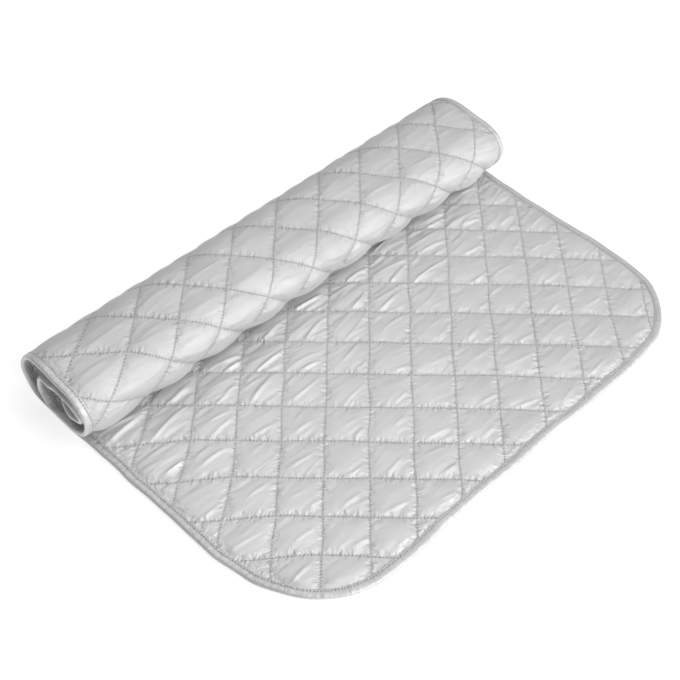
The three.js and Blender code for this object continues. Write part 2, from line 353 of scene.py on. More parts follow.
def gathered(first_row, last_row, slack, side_slack, bending, pressure, seed):
    """The relief in millimetres of one cloth between two crossing rows. slack is the spare length at u."""
    rows = np.arange(first_row - SIM_MARGIN, last_row + SIM_MARGIN + 1)
    i, j = np.meshgrid(rows, COLUMNS, indexing="ij")
    u = FIRST_ROW + STEP * i
    v = FIRST_COLUMN + STEP * j

    # Small seeded ripples, long across the pad, say where the wrinkles start
    ripple = waves(u, v, seed, RIPPLES, RIPPLE_TURNS, RIPPLE_LENGTHS) / RIPPLES
    height = (START_PUFF + START_RIPPLE * ripple) * cushion(i, j)
    spare = np.cumsum(slack(u) * (1 + ripple), 0) * STEP
    wide = np.stack([u + spare, v * (1 + side_slack), height], -1) * SIM_SCALE
    sewn = np.stack([u, v, height], -1) * SIM_SCALE

    held = ((i + j) % CELL_STEPS == 0) | ((i - j) % CELL_STEPS == 0)
    held |= HALF_PAD - np.abs(v) < BINDING_WIDTH
    held[:2] = held[-2:] = True
    obj = sheet_mesh("cloth_trial", wide)
    obj.vertex_groups.new(name="sewn").add(np.flatnonzero(held).tolist(), 1.0, "REPLACE")
    obj.shape_key_add(name="wide")
    key = obj.shape_key_add(name="sewn")
    key.data.foreach_set("co", sewn.astype(np.float32).ravel())
    for value, at in ((0.0, 1), (1.0, 1 + GATHER_FRAMES)):
        key.value = value
        key.keyframe_insert("value", frame=at)
    cloth = obj.modifiers.new("cloth", "CLOTH")
    cloth.collision_settings.use_collision = False
    settings = cloth.settings
    settings.vertex_group_mass = "sewn"
    settings.quality = 5
    settings.mass = 0.3
    settings.tension_stiffness = 15
    settings.compression_stiffness = 15
    settings.shear_stiffness = 5
    settings.bending_stiffness = bending
    settings.air_damping = 1
    settings.use_pressure = True
    settings.uniform_pressure_force = pressure
    settings.effector_weights.gravity = 0
    for at in range(1, SIM_FRAMES + 1):
        bpy.context.scene.frame_set(at)
    shaped = obj.evaluated_get(bpy.context.evaluated_depsgraph_get()).data
    found = np.empty(len(shaped.vertices) * 3, np.float32)
    shaped.vertices.foreach_get("co", found)
    action = obj.data.shape_keys.animation_data.action
    bpy.data.objects.remove(obj)
    bpy.data.actions.remove(action)
    bpy.context.scene.frame_set(1)
    return found.reshape(*u.shape, 3)[SIM_MARGIN:-SIM_MARGIN, :, 2] / SIM_SCALE


class Relief:
    """A simulated stretch of cloth, carried on over the whole pad by mirroring it at its crossing rows."""

    def __init__(self, first_row, last_row, height, **cloth):
        self.first = first_row
        self.rows = last_row - first_row
        self.found = gathered(first_row, last_row, **cloth)
        self.found *= height / np.percentile(self.found, CREST_PERCENT)

    def at(self, u):
        """The relief along the grid's columns, for an array of u."""
        i = (u - FIRST_ROW) / STEP - self.first
        i = np.abs((i + self.rows) % (2 * self.rows) - self.rows)
        low = np.clip(np.floor(i).astype(int), 0, self.rows - 1)
        part = (i - low)[:, None]
        return self.found[low] * (1 - part) + self.found[low + 1] * part


TOP_ROWS = (0, CELL_STEPS * 6)
TOP_PUFF = 2.0
TOP_SLACK = 0.009
TOP_SLACK_MORE = 0.011
TOP_SLACK_FROM = 130.0
TOP_SLACK_OVER = 170.0
BACK_ROWS = (CELL_STEPS * 11 // 2, CELL_STEPS * 19 // 2)
BACK_PUFF = 1.8
BACK_SLACK = 0.006


def top_slack(u):
    """The ironing side has more spare cloth towards the roll."""
    return TOP_SLACK + TOP_SLACK_MORE * smooth((u - TOP_SLACK_FROM) / TOP_SLACK_OVER)


def back_slack(u):
    return np.full(u.shape, BACK_SLACK)


top_relief = Relief(*TOP_ROWS, TOP_PUFF, slack=top_slack, side_slack=0.004, bending=4.0, pressure=3.0, seed=3)
back_relief = Relief(*BACK_ROWS, BACK_PUFF, slack=back_slack, side_slack=0.003, bending=3.0, pressure=3.0,
                     seed=11)


# Creases: narrow ridges that run across the pad inside the diamonds, sharper than the simulated cloth can be

MOST_CREASES = 6
DRAWS_PER_CREASE = 7
CREASE_ENDS = 3.0
MAIN_CREASE = (-6.0, 9.0)
MINOR_CREASE = (0.0, 17.0)
MAIN_SHARE = (0.85, 0.3)
MINOR_SHARE = (0.38, 0.25)
CREASE_TILT = 0.28
CREASE_BOW = 0.008
CREASE_ASIDE = 8.0
CREASE_VARIES = 0.4

# On the ironing side they grow in number, height and length towards the roll
TOP_CREASES = 2
MORE_FROM = 120.0
MOST_FROM = 200.0
MORE_OVER = 110.0
TOP_CREASE_HEIGHT = 0.8
TOP_CREASE_HIGHER = 0.85
TOP_CREASE_LENGTH = 10.0
TOP_CREASE_LONGER = 8.0
TOP_CREASE_WIDTHS = (1.2, 2.0)
TOP_CREASE_SEED = 21

BACK_CREASES = 3
BACK_CREASE_HEIGHT = 0.5
BACK_CREASE_LENGTH = 14.0
BACK_CREASE_WIDTHS = (1.2, 2.4)
BACK_CREASE_SEED = 22


def top_crease(at):
    """Number, height and length of the ridges in a diamond on the ironing side whose middle is at u = at."""
    more = smooth((at - MORE_FROM) / MORE_OVER)
    count = TOP_CREASES + (at > MORE_FROM) + (at > MOST_FROM)
    height = (TOP_CREASE_HEIGHT + TOP_CREASE_HIGHER * more) * (at < ROLL_START)
    return count, height, TOP_CREASE_LENGTH + TOP_CREASE_LONGER * more


def back_crease(at):
    """The same for the back, where they are alike everywhere."""
    return BACK_CREASES, BACK_CREASE_HEIGHT, BACK_CREASE_LENGTH


def creases(rows, kind, widths, seed):
    """The ridges' height in millimetres at the given rows. kind is one of the functions above."""
    random = np.random.default_rng(seed)
    found = np.zeros((len(rows), len(ACROSS)))
    half = DIAMOND / 2
    last_row = int((rows[-1] - FIRST_ROW) / half) + 1
    reach = int(2 * HALF_PAD / DIAMOND) + 1
    for m in range(-1, last_row + 1):
        for n in range(-reach, reach + 1):
            if (m + n) % 2 == 0:
                continue
            centre_u = FIRST_ROW + half * m
            centre_v = FIRST_COLUMN + half * n
            draws = random.uniform(-1, 1, (MOST_CREASES, DRAWS_PER_CREASE))
            here_u = np.flatnonzero(np.abs(rows - centre_u) < half)
            here_v = np.flatnonzero(np.abs(ACROSS - centre_v) < half)
            if not len(here_u) or not len(here_v):
                continue
            du = (rows[here_u] - centre_u)[:, None]
            dv = (ACROSS[here_v] - centre_v)[None]
            to_seam = (half - np.abs(du) - np.abs(dv)) / math.sqrt(2)
            inside = smooth(to_seam / CREASE_ENDS)
            ridges = np.zeros(to_seam.shape)
            count, height, length = kind(centre_u)
            for k, (aside, tilt, bow, rise, width, reach_v, side) in enumerate(draws[:count]):
                centre, spread = MINOR_CREASE if k else MAIN_CREASE
                share, more = MINOR_SHARE if k else MAIN_SHARE
                middle = centre + spread * aside + CREASE_TILT * tilt * dv + CREASE_BOW * bow * dv**2
                breadth = widths[0] + (widths[1] - widths[0]) * (width + 1) / 2
                size = height * (share + more * rise)
                run = (dv - CREASE_ASIDE * side) / (length * (1 + CREASE_VARIES * reach_v))
                ridges = np.maximum(ridges, size * np.exp(-((du - middle) / breadth) ** 2 - run**4))
            found[np.ix_(here_u, here_v)] += ridges * inside
    return found


# Building pieces

def new_piece(name, points, faces, pattern, normals, material):
    """A mesh piece. pattern gives each point's place on the pad in millimetres, which the materials read."""
    mesh = bpy.data.meshes.new(name)
    mesh.from_pydata(points.tolist(), [], faces)
    mesh.attributes.new("pattern", "FLOAT_VECTOR", "POINT")
    mesh.attributes["pattern"].data.foreach_set("vector", (pattern * MM).astype(np.float32).ravel())
    mesh.polygons.foreach_set("use_smooth", np.ones(len(mesh.polygons), bool))
    if normals is not None:
        mesh.normals_split_custom_set_from_vertices(normals.tolist())
    mesh.materials.append(material)
    return linked(name, mesh)


SHORTEST = 1e-15


def point_normals(points, faces):
    """Smooth normals for a whole surface, before it is cut into pieces."""
    a, b, c, d = (points[faces[:, k]] for k in range(4))
    flat = np.cross(c - a, d - b)
    total = np.zeros_like(points)
    for k in range(4):
        np.add.at(total, faces[:, k], flat)
    return total / np.maximum(np.linalg.norm(total, axis=1, keepdims=True), SHORTEST)


def bake_map(obj, places):
    """A flat layout of the piece for baking its material: places is one (x, y) from 0 to 1 per corner."""
    layer = obj.data.uv_layers.new(name="OFBake")
    layer.uv.foreach_set("vector", places.astype(np.float32).ravel())


# A hinge's chord lies this far above the pad, inside its turn, and has no part along the roll
CHORD_LIFT = 6.0
UPRIGHT = np.array([1.0, 0.0, 1.0])


def bend_piece(obj, k):
    """Bakes a piece's transform into its mesh. The ends of hinge k's chord, from 1, are worked out but not
    used, so the piece isn't blended.
    """
    reach = THICKNESS + CHORD_LIFT
    start, end = (place(CUTS[n], 0.0, reach) * UPRIGHT for n in (k - 1, k))
    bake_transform(obj)


# Materials

SILVER_TINT = (1.0, 1.0, 0.998)


class Nodes:
    """Short forms for building a node tree."""

    def __init__(self, name):
        self.material = bpy.data.materials.new(name)
        self.material.use_nodes = True
        self.tree = self.material.node_tree
        self.shader = self.tree.nodes["Principled BSDF"]
        self.pattern = self.add("ShaderNodeAttribute", attribute_name="pattern").outputs["Vector"]
        split = self.add("ShaderNodeSeparateXYZ", {"Vector": self.pattern})
        self.x, self.y, self.z = split.outputs

    def add(self, kind, inputs=(), **settings):
        node = self.tree.nodes.new(kind)
        for key, value in settings.items():
            setattr(node, key, value)
        for key, value in dict(inputs).items():
            if isinstance(value, bpy.types.NodeSocket):
                self.tree.links.new(value, node.inputs[key])
            else:
                node.inputs[key].default_value = value
        return node

    def math(self, operation, *values):
        return self.add("ShaderNodeMath", enumerate(values), operation=operation).outputs[0]

    def fade(self, value, low, high, to_low=0.0, to_high=1.0):
        inputs = {"Value": value, "From Min": low, "From Max": high, "To Min": to_low, "To Max": to_high}
        node = self.add("ShaderNodeMapRange", inputs, interpolation_type="SMOOTHSTEP")
        return node.outputs["Result"]

    def noise(self, vector, scale, detail=2.0, roughness=0.5):
        inputs = {"Vector": vector, "Scale": scale, "Detail": detail, "Roughness": roughness}
        return self.add("ShaderNodeTexNoise", inputs).outputs["Fac"]

    def stretched(self, vector, scale):
        inputs = {0: vector, 1: scale}
        return self.add("ShaderNodeVectorMath", inputs, operation="MULTIPLY").outputs["Vector"]

    def combine(self, x, y):
        return self.add("ShaderNodeCombineXYZ", {"X": x, "Y": y}).outputs["Vector"]

    def length(self, x, y):
        inputs = {0: self.combine(x, y)}
        return self.add("ShaderNodeVectorMath", inputs, operation="LENGTH").outputs["Value"]

    def near(self, value, inner, outer):
        """1 up to the inner distance in millimetres, 0 from the outer one."""
        return self.fade(value, inner * MM, outer * MM, 1.0, 0.0)

    def relief(self, *terms):
        """The sum of several masks times their heights in millimetres."""
        total = 0.0
        for mask, height in terms:
            total = self.math("MULTIPLY_ADD", mask, height * MM, total)
        return total

    def shaded(self, tone, where, share):
        """A tone that is darker by a share where the mask says so."""
        return self.math("MULTIPLY", tone, self.math("MULTIPLY_ADD", where, -share, 1.0))

    def finish(self, tone, roughness, height, **constants):
        """Links the shader to a brightness, which gets the tint, a roughness and a height in metres."""
        tints = zip(("Red", "Green", "Blue"), SILVER_TINT)
        channels = {key: self.math("MULTIPLY", tone, share) for key, share in tints}
        colour = self.add("ShaderNodeCombineColor", channels).outputs["Color"]
        bump = self.add("ShaderNodeBump", {"Height": height, "Distance": 1.0, "Strength": 1.0})
        self.tree.links.new(colour, self.shader.inputs["Base Color"])
        self.tree.links.new(roughness, self.shader.inputs["Roughness"])
        self.tree.links.new(bump.outputs["Normal"], self.shader.inputs["Normal"])
        for key, value in constants.items():
            self.shader.inputs[key.replace("_", " ")].default_value = value
        return self.material


STITCHES_PER_SIDE = 13
STITCH_PITCH = DIAMOND / math.sqrt(2) / STITCHES_PER_SIDE

# Nearly all of a noise's values lie in this span, around this middle
NOISE_SPAN = (0.3, 0.7)
NOISE_MIDDLE = 0.5

# Silver cloth: sizes and heights in millimetres, noise scales per metre, shares of the tone
CLOTH_GREY = 0.675
CLOTH_TONES = (CLOTH_GREY * 0.96, CLOTH_GREY * 1.03)
CLOTH_ROUGHNESS = (0.36, 0.46)
HOLE_RADII = (0.3, 0.9)
HOLE_DEPTH = 0.35
# Painted shade in the needle holes and in a band along the stitch lines, as shares of the tone
HOLE_PAINTED_SHADE = 0.22
VALLEY_REACH = 2.2
VALLEY_PAINTED_SHADE = 0.13
PUCKER_STRETCH = (240.0, 110.0, 0.0)
PUCKER_REACH = (0.5, 8.0)
PUCKER_HEIGHT = 3.6
PATCH_SCALE = 60.0
PATCH_SPAN = (0.4, 0.62)
PATCH_LOW = 0.45
GATHER_SCALE = 230.0
GATHER_REACH = 10.0
GATHER_HEIGHT = 2.0
CRINKLE_STRETCH = (1.0, 0.3, 0.3)
CRINKLE_SCALE = 150.0
CRINKLE_HEIGHT = 0.65
WEAVE_PITCH = 0.5
WEAVE_HEIGHT = 0.006
CLOUD_SCALE = 14.0
GRAIN_SCALE = 900.0
GRAIN_SHARE = 0.05
# Painted shade on the back, as a share of the tone
BACK_PAINTED_SHADE = 0.11
BACK_ROUGHER = 0.16


def silver_cloth():
    """Satin with a silver coating: faint weave, crinkles, puckers and needle holes along the stitching, with
    painted shade in the holes, along the stitch lines and on the back.
    """
    n = Nodes("silver_cloth")
    row = n.math("SUBTRACT", n.x, FIRST_ROW * MM)
    column = n.math("SUBTRACT", n.y, FIRST_COLUMN * MM)
    first = n.math("ADD", row, column)
    second = n.math("SUBTRACT", row, column)
    diagonal = math.sqrt(2)
    off_first = n.math("DIVIDE", n.math("PINGPONG", first, DIAMOND / 2 * MM), diagonal)
    off_second = n.math("DIVIDE", n.math("PINGPONG", second, DIAMOND / 2 * MM), diagonal)
    off = n.math("MINIMUM", off_first, off_second)
    on_first = n.math("LESS_THAN", off_first, off_second)
    along = n.add("ShaderNodeMix", {"Factor": on_first, "A": first, "B": second}).outputs["Result"]
    along = n.math("DIVIDE", along, diagonal)
    aside = n.add("ShaderNodeMix", {"Factor": on_first, "A": second, "B": first}).outputs["Result"]
    aside = n.math("DIVIDE", aside, diagonal)

    # Needle holes between the stitches, with painted shade in them, and a band of painted shade along the
    # stitch lines
    to_hole = n.math("PINGPONG", along, STITCH_PITCH / 2 * MM)
    hole = n.near(n.length(to_hole, off), *HOLE_RADII)
    valley_painted_shade = n.near(off, 0.0, VALLEY_REACH)

    # Puckers run out from the stitching, crinkles run across the pad
    by_stitch = n.stretched(n.combine(along, aside), PUCKER_STRETCH)
    pucker = n.math("SUBTRACT", n.noise(by_stitch, 1.0), NOISE_MIDDLE)
    pucker = n.math("MULTIPLY", pucker, n.near(off, *PUCKER_REACH))
    patches = n.noise(n.pattern, PATCH_SCALE)
    pucker = n.math("MULTIPLY", pucker, n.fade(patches, *PATCH_SPAN, PATCH_LOW, 1.0))
    to_side = n.math("SUBTRACT", HALF_PAD * MM, n.math("ABSOLUTE", n.y))
    to_edge = n.math("MINIMUM", to_side, n.x)
    by_tape = n.near(to_edge, BINDING_WIDTH, BINDING_WIDTH + GATHER_REACH)
    gather = n.math("SUBTRACT", n.noise(n.pattern, GATHER_SCALE), NOISE_MIDDLE)
    gather = n.math("MULTIPLY", gather, by_tape)
    stretched = n.stretched(n.pattern, CRINKLE_STRETCH)
    crinkle = n.noise(stretched, CRINKLE_SCALE, detail=3.0, roughness=0.45)
    weave_turn = 2 * math.pi / (WEAVE_PITCH * MM)
    weave_row = n.math("SINE", n.math("MULTIPLY", n.x, weave_turn))
    weave_column = n.math("SINE", n.math("MULTIPLY", n.y, weave_turn))
    weave = n.math("MULTIPLY", weave_row, weave_column)
    height = n.relief((pucker, PUCKER_HEIGHT), (gather, GATHER_HEIGHT), (crinkle, CRINKLE_HEIGHT),
                      (weave, WEAVE_HEIGHT), (hole, -HOLE_DEPTH))

    tone = n.fade(n.noise(n.pattern, CLOUD_SCALE), *NOISE_SPAN, *CLOTH_TONES)
    tone = n.math("MULTIPLY_ADD", n.noise(n.pattern, GRAIN_SCALE), GRAIN_SHARE * CLOTH_GREY, tone)
    # Painted shade: the tone is darker along the stitch lines and in the needle holes
    tone = n.shaded(tone, valley_painted_shade, VALLEY_PAINTED_SHADE)
    tone = n.shaded(tone, hole, HOLE_PAINTED_SHADE)
    roughness = n.fade(patches, *NOISE_SPAN, *CLOTH_ROUGHNESS)

    # The back is duller than the ironing side, and painted shade makes its tone a little darker
    back = n.math("LESS_THAN", n.z, MIDDLE * MM)
    tone = n.shaded(tone, back, BACK_PAINTED_SHADE)
    roughness = n.math("MULTIPLY_ADD", back, BACK_ROUGHER, roughness)
    return n.finish(tone, roughness, height, Metallic=0.28, Sheen_Weight=0.08)


# The tape, in the same units
TAPE_GREY = 0.64
TAPE_TONES = (TAPE_GREY * 0.95, TAPE_GREY * 1.04)
TAPE_ROUGHNESS = (0.40, 0.52)
TWILL_PITCH = 0.7
TWILL_HEIGHT = 0.008
TAPE_GATHER_STRETCH = (1.0, 0.35, 0.0)
TAPE_GATHER_SCALE = 300.0
TAPE_GATHER_HEIGHT = 1.1
TAPE_HOLE_RADII = (0.3, 1.0)
TAPE_HOLE_DEPTH = 0.4
# Painted shade in the needle holes, as a share of the tone
TAPE_HOLE_PAINTED_SHADE = 0.26
TAPE_CLOUD_SCALE = 40.0
TAPE_EDGE_REACH = 2.4
# Painted shade towards the tape's inner edge, as a share of the tone
TAPE_EDGE_PAINTED_SHADE = 0.12


def binding_tape(pitch):
    """The same cloth as a narrow tape: twill lines, gathers, needle holes and a stitched inner edge, with
    painted shade in the holes and towards that edge.
    """
    n = Nodes("binding_tape")
    diagonal = n.math("ADD", n.x, n.y)
    twill = n.math("SINE", n.math("MULTIPLY", diagonal, 2 * math.pi / (TWILL_PITCH * MM)))
    stretched = n.stretched(n.pattern, TAPE_GATHER_STRETCH)
    gather = n.noise(stretched, TAPE_GATHER_SCALE, detail=3.0)
    to_hole = n.math("PINGPONG", n.x, pitch / 2 * MM)
    off = n.math("SUBTRACT", n.y, STITCH_ROW * MM)
    hole = n.near(n.length(to_hole, off), *TAPE_HOLE_RADII)
    height = n.relief((twill, TWILL_HEIGHT), (gather, TAPE_GATHER_HEIGHT), (hole, -TAPE_HOLE_DEPTH))
    tone = n.fade(n.noise(n.pattern, TAPE_CLOUD_SCALE), *NOISE_SPAN, *TAPE_TONES)
    edge = n.fade(n.y, (BINDING_WIDTH - TAPE_EDGE_REACH) * MM, BINDING_WIDTH * MM)
    # Painted shade: the tone is darker towards the tape's inner edge, where it meets the quilt, and in the
    # needle holes
    tone = n.shaded(tone, edge, TAPE_EDGE_PAINTED_SHADE)
    tone = n.shaded(tone, hole, TAPE_HOLE_PAINTED_SHADE)
    roughness = n.fade(gather, *NOISE_SPAN, *TAPE_ROUGHNESS)
    return n.finish(tone, roughness, height, Metallic=0.45, Sheen_Weight=0.08)


# The thread, in the same units
THREAD_GREY = 0.6
THREAD_TONES = (THREAD_GREY * 0.85, THREAD_GREY * 1.1)
THREAD_ROUGHNESS = (0.65, 0.5)
THREAD_SCALE = 200.0
TWIST_PITCH = 0.6
TWIST_HEIGHT = 0.03
# Painted highlight and shade along the twist, as a share of the tone
TWIST_PAINTED_SHADING = 0.15


def sewing_thread():
    """Grey polyester thread with its twist, and painted highlight and shade along the twist."""
    n = Nodes("sewing_thread")
    lay = n.math("MULTIPLY", n.x, 2 * math.pi / (TWIST_PITCH * MM))
    twist = n.math("SINE", n.math("ADD", lay, n.y))
    tone = n.fade(n.noise(n.pattern, THREAD_SCALE), *NOISE_SPAN, *THREAD_TONES)
    # Painted highlight and shade: lighter on the twist's crests, darker between them
    tone = n.shaded(tone, twist, -TWIST_PAINTED_SHADING)
    roughness = n.fade(twist, -1.0, 1.0, *THREAD_ROUGHNESS)
    return n.finish(tone, roughness, n.relief((twist, TWIST_HEIGHT)), Sheen_Weight=0.2)


CLOTH = silver_cloth()
THREAD = sewing_thread()


# The quilted pad: two cloths with wadding between them, cut where the pad bends

SEWN_RISE = 7.0

# The back may swell more where it lies on nothing, most of all on the roll
BACK_FREE = 0.8
FRONT_RISE = 40.0
FRONT_FREE = 0.7
FRONT_SWELL = 0.3

# Low on the front the diamonds are fuller still, over this span of its half turn
PUFF_SPAN = (0.2, 0.97)
PUFF_FROM, PUFF_TO = (pad_length(FRONT_TURN + share * FRONT_TURN_LENGTH) for share in PUFF_SPAN)
PUFF_RISE = 30.0
PUFF_FALL = 18.0
PUFF_FREE = 1.5
PUFF_SWELL = 0.9

# The rows are close together up to here, and this far from the rows at the cuts
SEEN_UNTIL = 535.0
ROW_GAP = 0.25 * STEP

# The layout for baking: top and back lie one above the other, and the rim has a corner of its own
MAP_MARGIN = 0.02
MAP_LENGTH = 0.96
MAP_WIDTH = 0.45
MAP_BACK = 0.5
MAP_RIM = 0.995
FLAT_QUILTS = ("quilt_flat_end", "quilt_flat_mid")


def quilt_rows():
    """The grid's rows along the pad, with a row at each cut and at both ends, close together where seen."""
    marks = [QUILT_EDGE, *CUTS, PAD_LENGTH - QUILT_EDGE]
    low, high = (math.floor((end - FIRST_ROW) / STEP) for end in (marks[0], marks[-1]))
    grid = FIRST_ROW + STEP / 2 * np.arange(2 * low, 2 * high + 2)
    close = (grid < SEEN_UNTIL) | (np.arange(len(grid)) % 2 == 0)
    away = np.abs(grid[:, None] - np.array(marks)).min(1) > ROW_GAP
    inside = (grid > marks[0]) & (grid < marks[-1])
    return np.sort(np.concatenate([grid[close & away & inside], marks]))


def quilt_surfaces():
    """The whole pad's rows, columns and heights: u, v, top and back, with the columns held to the outline."""
    rows = quilt_rows()
    u = np.broadcast_to(rows[:, None], (len(rows), len(COLUMNS)))
    limit = half_width(rows, QUILT_EDGE)[:, None]
    v = np.clip(ACROSS, -limit, limit)
    free = np.sin(np.pi / 2 * np.clip((inset_at(u, v) - BINDING_WIDTH) / SEWN_RISE, 0, 1))
    top_ridges = creases(rows, top_crease, TOP_CREASE_WIDTHS, TOP_CREASE_SEED)
    back_ridges = creases(rows, back_crease, BACK_CREASE_WIDTHS, BACK_CREASE_SEED)
    top = TOP_SEAM + (top_relief.at(rows) + top_ridges) * free
    swells = smooth((u - CUTS[-1]) / FRONT_RISE)
    puffs = smooth((u - PUFF_FROM) / PUFF_RISE) * smooth((PUFF_TO - u) / PUFF_FALL)
    lifted = smooth((u - FIRST_CUT) / BACK_TURN_LENGTH)
    lying = BACK_SEAM * (1 + BACK_FREE * lifted + FRONT_FREE * swells + PUFF_FREE * puffs)
    back_height = (back_relief.at(rows) + back_ridges) * (1 + FRONT_SWELL * swells + PUFF_SWELL * puffs)
    back = BACK_SEAM - np.minimum(back_height * free, lying)
    return rows, u, v, top, back


def columns_in(rows):
    """For each row, the first and last grid column that the outline needs."""
    limit = half_width(rows, QUILT_EDGE)
    return np.searchsorted(ACROSS, -limit, side="right") - 1, np.searchsorted(ACROSS, limit)


def grid_faces(rows_at, first, last, width, turned):
    """Faces of a grid whose columns past the outline fall together, as lists of point numbers."""
    c = np.arange(width)
    held = np.clip(c[None], first[:, None], last[:, None]) + (rows_at * width)[:, None]
    a, b = held[:-1, :-1].ravel(), held[1:, :-1].ravel()
    c, d = held[1:, 1:].ravel(), held[:-1, 1:].ravel()
    wide = (a != d) | (b != c)
    quads = np.stack([a, b, c, d], -1)[wide]
    return quads[:, ::-1] if turned else quads


def thin(quad):
    """A face without its repeated corners."""
    return list(dict.fromkeys(quad))


def quilt():
    """The quilted pieces by name, each a closed skin of both cloths."""
    rows, u, v, top, back = quilt_surfaces()
    count, width = u.shape
    every = np.arange(count)
    first, last = columns_in(rows)
    shift = count * width
    points = [place(u, v, h).reshape(-1, 3) for h in (top, back)]
    pattern = [np.stack([u, v, h], -1).reshape(-1, 3) for h in (top, back)]
    sides = [grid_faces(every, first, last, width, turned) for turned in (True, False)]
    normals = [point_normals(p, f) for p, f in zip(points, sides)]
    at_cut = [int(np.abs(rows - cut).argmin()) for cut in CUTS]
    stops = [0, at_cut[0] // 2, *at_cut, count - 1]
    names = [*FLAT_QUILTS, *(f"quilt_bend_{k + 1}" for k in range(HINGES)), "quilt_roll"]
    made = {}
    for name, low, high in zip(names, stops[:-1], stops[1:]):
        here = np.arange(low, high + 1)
        upper, lower = (grid_faces(here, first[here], last[here], width, turned) for turned in (True, False))
        upper = [thin(q) for q in upper.tolist()]
        lower = [[p + shift for p in thin(q)] for q in lower.tolist()]

        # The rim joins both cloths wherever an upper edge has one face only
        edges = {(a, b) for q in upper for a, b in zip(q, q[1:] + q[:1])}
        rim = [[b, a, a + shift, b + shift] for a, b in sorted(edges) if (b, a) not in edges]
        faces = upper + lower + rim
        corner = np.concatenate([np.array(f) for f in faces])
        used, flat = np.unique(corner, return_inverse=True)
        ends = np.cumsum([len(f) for f in faces])[:-1]
        local = [part.tolist() for part in np.split(flat, ends)]
        both = [np.concatenate(pair)[used] for pair in (points, pattern, normals)]
        obj = new_piece(name, both[0], local, both[1], both[2], CLOTH)
        lays = np.concatenate(pattern)[corner]
        map_x = MAP_MARGIN + MAP_LENGTH * lays[:, 0] / PAD_LENGTH
        map_y = MAP_MARGIN + MAP_WIDTH * (lays[:, 1] / HALF_PAD + 1) / 2
        spread = np.stack([map_x, map_y], -1)
        spread[corner >= shift, 1] += MAP_BACK
        spread[sum(len(f) for f in upper + lower):] = MAP_RIM
        bake_map(obj, spread)
        made[name] = obj
    return made


LAYERS = ("top_cover", "wadding", "back_cover")
quilts = quilt()
for name in FLAT_QUILTS:
    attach(quilts[name], "flat_panel")
    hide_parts(*(f"{layer}_flat" for layer in LAYERS))
for k in range(1, HINGES + 1):
    bend_piece(quilts[f"quilt_bend_{k}"], k)
    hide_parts(*(f"{layer}_bend_{min(k, HINGES - 1)}" for layer in LAYERS))
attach(quilts["quilt_roll"], "roll")
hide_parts(*(f"{layer}_roll" for layer in LAYERS))


# The binding: one tape folded round the pad's edge

RIM_STEP = 2.6
FOLD_HALF = 2.1
FOLD_ROUND = 2.6
FOLD_TURNS = 5
FOLD_RUNS = 8
TAPE_THICK = 0.45
UNDER_TAPE = 0.04
STITCH_ROW = 6.2
GROOVE = 0.25
GROOVE_HALF = 0.8
STITCH_ROW_TOP = MIDDLE + FOLD_HALF - GROOVE

# Its thickness swells and shrinks round the pad, in a number of seeded waves
SWELL = 0.16
SWELL_FROM = 0.1
SWELL_WAVES = 12
SWELL_COUNTS = (60, 330)
SWELL_SEED = 5


def side_rows(u_from, u_to):
    """Stations along one side between two u, with one at each cut between them."""
    marks = sorted({u_from, u_to, *(c for c in CUTS if min(u_from, u_to) < c < max(u_from, u_to))})
    rows = [marks[0]]
    for a, b in zip(marks[:-1], marks[1:]):
        rows += np.linspace(a, b, max(2, round((b - a) / RIM_STEP) + 1))[1:].tolist()
    return np.array(rows if u_to > u_from else rows[::-1])


def rim():
    """Stations round the pad from the left side's first cut by the free end: u, v and the way inward."""
    r, w, far = CORNER_RADIUS, HALF_PAD, PAD_LENGTH
    stations = []

    def side(v, u_from, u_to):
        for u in side_rows(u_from, u_to):
            stations.append((u, v, 0.0, -math.copysign(1, v)))

    def end(u, v_from, v_to):
        for v in np.linspace(v_from, v_to, round(abs(v_to - v_from) / RIM_STEP)):
            stations.append((u, v, 1.0 if u == 0 else -1.0, 0.0))

    side(-w, FIRST_CUT, r)
    rounded(stations, r, -w + r, math.pi / 2)
    end(0.0, -w + r, w - r)
    rounded(stations, r, w - r, 0.0)
    side(w, r, far - r)
    rounded(stations, far - r, w - r, -math.pi / 2)
    end(far, w - r, -w + r)
    rounded(stations, far - r, -w + r, math.pi)
    side(-w, far - r, FIRST_CUT)
    return np.array(stations[:-1])


def rounded(stations, u, v, turn):
    """Adds one rounded corner about its centre (u, v). turn is where the inward direction starts."""
    steps = round(math.pi / 2 * CORNER_RADIUS / RIM_STEP)
    for k in range(1, steps):
        at = turn - math.pi / 2 * k / steps
        inward = math.cos(at), math.sin(at)
        stations.append((u - CORNER_RADIUS * inward[0], v - CORNER_RADIUS * inward[1], *inward))


def half_fold(start, flat, rim, half):
    """Half of a fold, from its inner end at height start to the edge: distances inward and heights."""
    run = np.linspace(BINDING_WIDTH, FOLD_ROUND, FOLD_RUNS, endpoint=False)
    turn = np.linspace(0, np.pi / 2, FOLD_TURNS)
    inward = np.concatenate([run, rim + (FOLD_ROUND - rim) * (1 - np.sin(turn))])
    height = MIDDLE + np.concatenate([flat(run), half * np.cos(turn)])
    height[0] = start
    return np.stack([inward, height], -1)


def fold_profile():
    """The folded tape's section as a closed ring: distance inward and height."""
    inside = TOP_SEAM + UNDER_TAPE - MIDDLE

    def grooved(d):
        return FOLD_HALF - GROOVE * np.exp(-((d - STITCH_ROW) / GROOVE_HALF) ** 2)

    outer = half_fold(TOP_SEAM + TAPE_THICK / 2, grooved, 0.0, FOLD_HALF)
    inner = half_fold(TOP_SEAM + UNDER_TAPE, lambda d: np.full(d.shape, inside), TAPE_THICK, inside)
    turned = [np.stack([half[-2::-1, 0], THICKNESS - half[-2::-1, 1]], -1) for half in (outer, inner)]
    return np.concatenate([outer, turned[0], turned[1][::-1], inner[::-1]])


